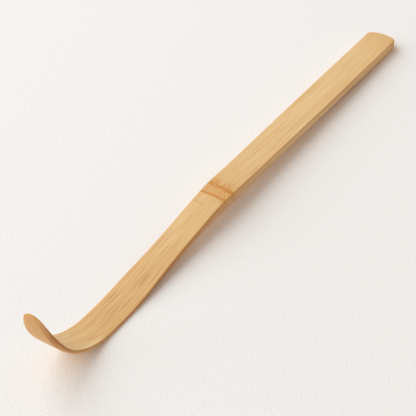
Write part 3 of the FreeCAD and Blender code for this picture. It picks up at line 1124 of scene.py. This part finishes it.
@dataclass(frozen=True)
class BambooFinish:
    """Scraped and steamed bamboo.

    The skin is pale straw with a satin sheen, because its waxy outside is
    scraped off and the dense fibres below are polished in use. Its colour
    deepens where the strip was steamed and bent. Places along the strip are
    in mm past the node, but from the cut end where the name says so.
    """

    roughness: float = 0.48
    gloss: float = 0.34
    scars: ScarFinish = ScarFinish()

    # the fibres stand up by a few hundredths of a millimetre
    ridges: Streaks = Streaks(30.0, 0.4, 0.3, 0.7)
    ridge_height: float = 0.04
    ridge_strength: float = 0.3

    # which share of the thickness is side, and which is back
    side_from: Fade = Fade(0.03, 0.08)
    side_to: Fade = Fade(0.97, 0.9)
    back_from: Fade = Fade(0.86, 0.98)
    side_carved_away: Fade = Fade(72.0, 82.0)

    # the skin: bundles of fibres half a millimetre wide and some 30 mm long
    skin_tones: Tones = Tones("DAAB6D", "EAC993", 0.24, 0.66)
    skin_fibres: Streaks = Streaks(30.0, 0.5)
    skin_bands: Streaks = Streaks(80.0, 2.4, 0.46, 0.68, 0.45, (5.0, 3.0, 0.0))

    # pale streaks, where the scraping left more of the skin
    pale: str = "F3D9A4"
    pale_streaks: Streaks = Streaks(24.0, 0.5, 0.58, 0.74, 0.6, (1.0, 9.0, 4.0))
    pale_handle: Fade = Fade(-4.0, -20.0)
    pale_bend: Fade = Fade(30.0, 56.0, 0.0, 0.8)

    # vessels are 0.1 mm wide and drawn 0.3 mm wide, to show at all
    vessel: str = "BC7F3C"
    vessels: Streaks = Streaks(12.0, 0.3, 0.54, 0.68, 1.0, (3.0, 7.0, 1.0), 1.0)
    vessel_strength: Fade = Fade(-75.0, 60.0, 0.12, 0.72)

    # steam deepens the shaft, and from the floor of the bend on most of that stain is lifted again, as
    # painted light against the shade that falls there
    toasted: str = "F4E9D9"
    toasted_shaft: Fade = Fade(0.0, 48.0)
    bend_floor_painted_light: Fade = Fade(50.0, 60.0, 1.0, 0.3)

    # the skin is browner on both sides of the node and, from handling, at the cut end
    brown_before_node: Fade = Fade(-24.0, -7.0)
    brown_past_node: Fade = Fade(18.0, 2.0, 0.0, 0.45)
    brown_from_cut_end: Fade = Fade(16.0, 1.0, 0.0, 0.6)

    # the right rim of the bend is painted pale, as a painted highlight on its rounded edge
    bend_highlight_along: Fade = Fade(54.0, 60.0)
    bend_highlight_inset: Fade = Fade(2.2, 0.5, 0.0, 0.6)
    bend_highlight_side: Fade = Fade(0.0, -1.0)

    # the sides: the layers follow the skin, half a millimetre apart
    side_tones: Tones = Tones("D7A970", "ECC793", 0.36, 0.62)
    side_layers: Streaks = Streaks(40.0, 0.42, shift=(2.0, 5.0, 3.0))
    side_line: str = "B07A42"
    side_line_depth: Fade = Fade(0.75, 0.3, 0.0, 0.35)
    side_toasted: str = "E0C09C"
    toasted_side: Fade = Fade(-30.0, 30.0)
    worn_side: Fade = Fade(44.0, 58.0, 1.0, 0.35)

    # steam darkens the upper part of the bend's sides, and the lower rim is painted pale gold as a
    # highlight; the same dark colour is also painted as shade on the curl's right side
    scorched_and_shade: str = "D4A44C"
    rim_highlight_gold: str = "F3C172"
    steamed_side: Fade = Fade(44.0, 58.0)
    scorched_layers: Fade = Fade(0.62, 0.3, 0.0, 0.25)
    rim_highlight_layers: Fade = Fade(0.5, 0.75, 0.0, 0.8)
    # painted shade: the scorched colour is laid again on the right side of the curl, where shade falls
    curl_side_shade: Fade = Fade(65.0, 77.0, 0.0, 0.5)
    shaded_right_side: Fade = Fade(0.8, -0.2)

    # the back is pith, freshly scraped and paler under the curl
    back_tones: Tones = Tones("CC9350", "E0AE6B", 0.35, 0.65)
    back_fibres: Streaks = Streaks(16.0, 0.6, shift=(8.0, 1.0, 6.0))
    back_pale: str = "F8C476"
    scraped_back: Fade = Fade(79.0, 68.0, 0.0, 0.5)

    # the bevel along the right side of the curl is darkened as painted shade, with a wandering border
    bevel_wander: Streaks = Streaks(9.0, 2.0, shift=(2.0, 2.0, 7.0), detail=1.0)
    bevel_wander_by: Fade = Fade(0.2, 0.8, -0.3, 0.3)
    bevel_inner: Fade = Fade(1.8, 0.2)
    bevel_outer: Fade = Fade(0.0, 0.8, 0.8, 1.0)
    bevel_from: Fade = Fade(66.0, 76.0)
    bevel_to: Fade = Fade(88.0, 77.0)

    # a golden line where the skin meets the sides, and a brown rim at the cut end
    gold: str = "D59A4C"
    gold_depth: Fade = Fade(0.4, 0.2)
    gold_along: Fade = Fade(78.0, 64.0)
    gold_inset: Fade = Fade(0.35, 0.15, 0.0, 0.6)
    cut_rim_inset: Fade = Fade(1.3, 0.2, 0.0, 0.6)
    cut_rim_from_end: Fade = Fade(7.0, 2.5)
    cut_rim_layers: Fade = Fade(0.9, 0.5)

    def material(self, node_at: float, node: Node) -> bpy.types.Material:
        """Make the bamboo material.

        Args:
            node_at: where the strip's node is, in mm along the fibres.
            node: the sizes of the node's scars.

        Returns:
            The material.
        """
        made = bpy.data.materials.new("scraped_bamboo")
        made.use_nodes = True
        tree = NodeTree(made.node_tree)
        grain = Grain(tree, node_at)
        coat, back = self.skin(grain), self.back(grain)
        side = grain.fade(grain.layer, self.side_from, self.side_to)
        coat.cover(side, self.side(grain))
        # near the tip the sides are carved away, and the back comes round to the skin
        coat.cover(grain.all_of(side, grain.fade(grain.past, self.side_carved_away)), back)
        coat.cover(grain.fade(grain.layer, self.back_from), back)
        self.scars.lay(grain, coat, node)
        self.edges(grain, coat)
        bump = tree.add(
            "ShaderNodeBump",
            {
                "Height": grain.drawn(self.ridges),
                "Strength": self.ridge_strength,
                "Distance": self.ridge_height * MM,
            },
        )
        shader = tree.add(
            "ShaderNodeBsdfPrincipled",
            {
                "Base Color": coat.shade,
                "Roughness": self.roughness,
                "Specular IOR Level": self.gloss,
                "Normal": bump,
            },
        )
        tree.add("ShaderNodeOutputMaterial", {"Surface": shader})
        return made

    def skin(self, grain: Grain) -> Coat:
        """Colour the skin side: fibres, bands, vessels and steamed tone, with painted light on the
        bend's floor and a painted highlight on its right rim.

        Args:
            grain: where a point lies in the bamboo.

        Returns:
            The skin's coat.
        """
        past = grain.past
        coat = grain.coat(self.skin_fibres, self.skin_tones)
        coat.lay(grain.drawn(self.skin_bands), self.skin_tones.dark)
        scraped = grain.sum_of(grain.fade(past, self.pale_handle), grain.fade(past, self.pale_bend))
        coat.lay(grain.all_of(grain.drawn(self.pale_streaks), scraped), self.pale)
        vessels = grain.all_of(grain.drawn(self.vessels), grain.fade(past, self.vessel_strength))
        coat.lay(vessels, self.vessel)
        # painted light: the steamed stain is lifted from the floor of the bend on
        toasted = grain.fade(past, self.toasted_shaft, self.bend_floor_painted_light)
        coat.lay(toasted, self.toasted, Blend.STAIN)
        browned = grain.fade(past, self.brown_before_node, self.brown_past_node)
        coat.lay(browned, self.skin_tones.dark)
        # painted highlight: the right rim of the bend is laid pale
        rim = grain.all_of(
            grain.fade(past, self.bend_highlight_along),
            grain.fade(grain.inset, self.bend_highlight_inset),
            grain.fade(grain.across, self.bend_highlight_side),
        )
        coat.lay(rim, self.pale)
        coat.lay(grain.fade(grain.along, self.brown_from_cut_end), self.skin_tones.dark)
        return coat

    def side(self, grain: Grain) -> Coat:
        """Colour the carved sides, where the layers under the skin show, with a painted highlight on
        the bend's lower rim and painted shade on the curl's right side.

        Args:
            grain: where a point lies in the bamboo.

        Returns:
            The sides' coat.
        """
        past = grain.past
        coat = grain.coat(self.side_layers, self.side_tones)
        coat.lay(grain.fade(grain.deep, self.side_line_depth), self.side_line)
        toasted = grain.fade(past, self.toasted_side, self.worn_side)
        coat.lay(toasted, self.side_toasted, Blend.STAIN)
        steamed = grain.fade(past, self.steamed_side)
        upper = grain.all_of(grain.fade(grain.layer, self.scorched_layers), steamed)
        coat.lay(upper, self.scorched_and_shade, Blend.STAIN)
        # painted highlight: the lower rim of the bend's sides is laid pale gold
        coat.lay(grain.all_of(grain.fade(grain.layer, self.rim_highlight_layers), steamed), self.rim_highlight_gold)
        # painted shade on the right side of the curl
        side_shade = grain.all_of(
            grain.fade(past, self.curl_side_shade), grain.fade(grain.across, self.shaded_right_side)
        )
        coat.lay(side_shade, self.scorched_and_shade, Blend.STAIN)
        return coat

    def back(self, grain: Grain) -> Coat:
        """Colour the pith side, which shows outside the curl, with painted shade on the curl's right
        bevel.

        Args:
            grain: where a point lies in the bamboo.

        Returns:
            The back's coat.
        """
        coat = grain.coat(self.back_fibres, self.back_tones)
        coat.lay(grain.fade(grain.past, self.scraped_back), self.back_pale)
        # painted shade on the right bevel of the curl
        wander = grain.fade(grain.drawn(self.bevel_wander), self.bevel_wander_by)
        inset = grain.sum_of(grain.inset, wander)
        bevel = grain.all_of(
            grain.fade(inset, self.bevel_inner, self.bevel_outer),
            grain.fade(grain.across, self.shaded_right_side),
            grain.fade(grain.past, self.bevel_from, self.bevel_to),
        )
        coat.lay(bevel, self.scorched_and_shade, Blend.STAIN)
        return coat

    def edges(self, grain: Grain, coat: Coat) -> None:
        """Draw the golden line along the skin and the brown rim of the cut end.

        Args:
            grain: where a point lies in the bamboo.
            coat: the colour that they are drawn on.
        """
        line = grain.all_of(
            grain.fade(grain.deep, self.gold_depth),
            grain.fade(grain.past, self.gold_along),
            grain.fade(grain.inset, self.gold_inset),
        )
        coat.lay(line, self.gold)
        rim = grain.all_of(
            grain.fade(grain.inset, self.cut_rim_inset),
            grain.fade(grain.along, self.cut_rim_from_end),
            grain.fade(grain.layer, self.cut_rim_layers),
        )
        coat.lay(rim, self.gold)


@dataclass(frozen=True)
class PaperFinish:
    """Pale, uncoated drawing paper: matt, with a fine felt-marked tooth."""

    shade: str = "F4F1ED"
    roughness: float = 0.9
    gloss: float = 0.1

    # the tooth is about 0.7 mm wide, which is 1.4 to the millimetre
    teeth_per_mm: float = 1.4
    tooth_detail: float = 3.0
    tooth_height: float = 0.14
    tooth_strength: float = 0.6

    def material(self) -> bpy.types.Material:
        """Make the paper material.

        Returns:
            The material.
        """
        made = bpy.data.materials.new("pale_paper")
        made.use_nodes = True
        tree = NodeTree(made.node_tree)
        where = tree.add("ShaderNodeTexCoord", {}).node.outputs["Object"]
        tooth = tree.add(
            "ShaderNodeTexNoise",
            {"Vector": where, "Scale": self.teeth_per_mm / MM, "Detail": self.tooth_detail},
        )
        bump = tree.add(
            "ShaderNodeBump",
            {"Height": tooth, "Strength": self.tooth_strength, "Distance": self.tooth_height * MM},
        )
        shader = tree.add(
            "ShaderNodeBsdfPrincipled",
            {
                "Base Color": colour(self.shade),
                "Roughness": self.roughness,
                "Specular IOR Level": self.gloss,
                "Normal": bump,
            },
        )
        tree.add("ShaderNodeOutputMaterial", {"Surface": shader})
        return made


# The studio


@dataclass
class Studio:
    """The pale floor, the soft light and the camera.

    The floor, the lamp and the clip are in metres, and the target and the
    camera's distance in mm. Angles are in degrees.
    """

    paper: PaperFinish = PaperFinish()
    floor_size: float = 3.0
    key_azimuth: float = 104.0
    key_elevation: float = 30.0
    key_distance: float = 1.6
    key_size: float = 3.4
    key_power: float = 65.6
    key_colour: str = "E5F4FF"
    fill_colour: str = "FFECDD"
    fill_level: float = 0.49
    seen_level: float = 1.0
    target: tuple[float, float, float] = (-13.31, 1.63, 0.83)
    view_azimuth: float = 213.04
    view_elevation: float = 40.105
    view_distance: float = 365.392
    lens: float = 112.5
    sensor: float = 36.0
    clip_start: float = 0.01

    def direction(self, azimuth: float, elevation: float) -> Vector:
        """Return the direction towards an azimuth and an elevation in degrees."""
        flat = math.cos(math.radians(elevation))
        return Vector((
            flat * math.cos(math.radians(azimuth)),
            flat * math.sin(math.radians(azimuth)),
            math.sin(math.radians(elevation)),
        ))

    def aim(self, item: bpy.types.Object, place: Vector) -> None:
        """Put a lamp or the camera somewhere, turned to the target.

        Args:
            item: the lamp or the camera.
            place: where it goes, from the target, in metres.
        """
        turn = (-place).to_track_quat("-Z", "Y").to_matrix().to_4x4()
        item.matrix_world = Matrix.Translation(Vector(self.target) * MM + place) @ turn
        bpy.context.scene.collection.objects.link(item)

    def floor(self) -> None:
        """Lay the floor under the scoop."""
        bm = bmesh.new()
        bmesh.ops.create_grid(bm, x_segments=1, y_segments=1, size=self.floor_size / 2)
        mesh = bpy.data.meshes.new("floor")
        bm.to_mesh(mesh)
        bm.free()
        made = bpy.data.objects.new("floor", mesh)
        made.data.materials.append(self.paper.material())
        bpy.context.scene.collection.objects.link(made)

    def key(self) -> None:
        """Hang one large soft lamp at the left."""
        lamp = bpy.data.lights.new("key", "AREA")
        lamp.shape = "DISK"
        lamp.size = self.key_size
        lamp.energy = self.key_power
        lamp.color = colour(self.key_colour)[:3]
        place = self.direction(self.key_azimuth, self.key_elevation) * self.key_distance
        self.aim(bpy.data.objects.new("key", lamp), place)

    def fill(self) -> None:
        """Fill the rest with soft light from all round."""
        world = bpy.data.worlds.new("studio")
        world.use_nodes = True
        bpy.context.scene.world = world
        tree = NodeTree(world.node_tree)
        fill = tree.add(
            "ShaderNodeBackground", {"Color": colour(self.fill_colour), "Strength": self.fill_level}
        )
        pale = tree.add(
            "ShaderNodeBackground", {"Color": colour(self.paper.shade), "Strength": self.seen_level}
        )
        # beyond the floor, the camera and the gloss see the floor's own pale colour
        path = tree.add("ShaderNodeLightPath", {}).node
        seen = path.outputs["Is Camera Ray"]
        for ray in ("Is Glossy Ray", "Is Transmission Ray"):
            seen = tree.add("ShaderNodeMath", {0: seen, 1: path.outputs[ray]}, operation="MAXIMUM")
        sky = tree.add("ShaderNodeMixShader", {0: seen, 1: fill, 2: pale})
        tree.add("ShaderNodeOutputWorld", {"Surface": sky})

    def camera(self) -> None:
        """Set up the camera at the photograph's viewing angle."""
        view = bpy.data.cameras.new("camera")
        view.lens = self.lens
        view.sensor_width = self.sensor
        view.clip_start = self.clip_start
        away = self.direction(self.view_azimuth, self.view_elevation) * self.view_distance * MM
        made = bpy.data.objects.new("camera", view)
        self.aim(made, away)
        bpy.context.scene.camera = made

    def build(self) -> None:
        """Set up the whole studio."""
        bpy.context.scene.view_settings.view_transform = "Standard"
        self.floor()
        self.key()
        self.fill()
        self.camera()


def main() -> None:
    """Build the scoop and the studio, and note the sizes."""
    logging.basicConfig(level=logging.INFO, format="%(message)s")
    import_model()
    strip = BambooStrip()
    piece = strip.build()
    LOG.info("%s: %d faces, %.2f mm of skin", piece.name, len(piece.data.polygons), strip.skin.length)
    Studio().build()
    LOG.info("studio: floor, lamp, fill and camera")


if __name__ == "__main__":
    main()
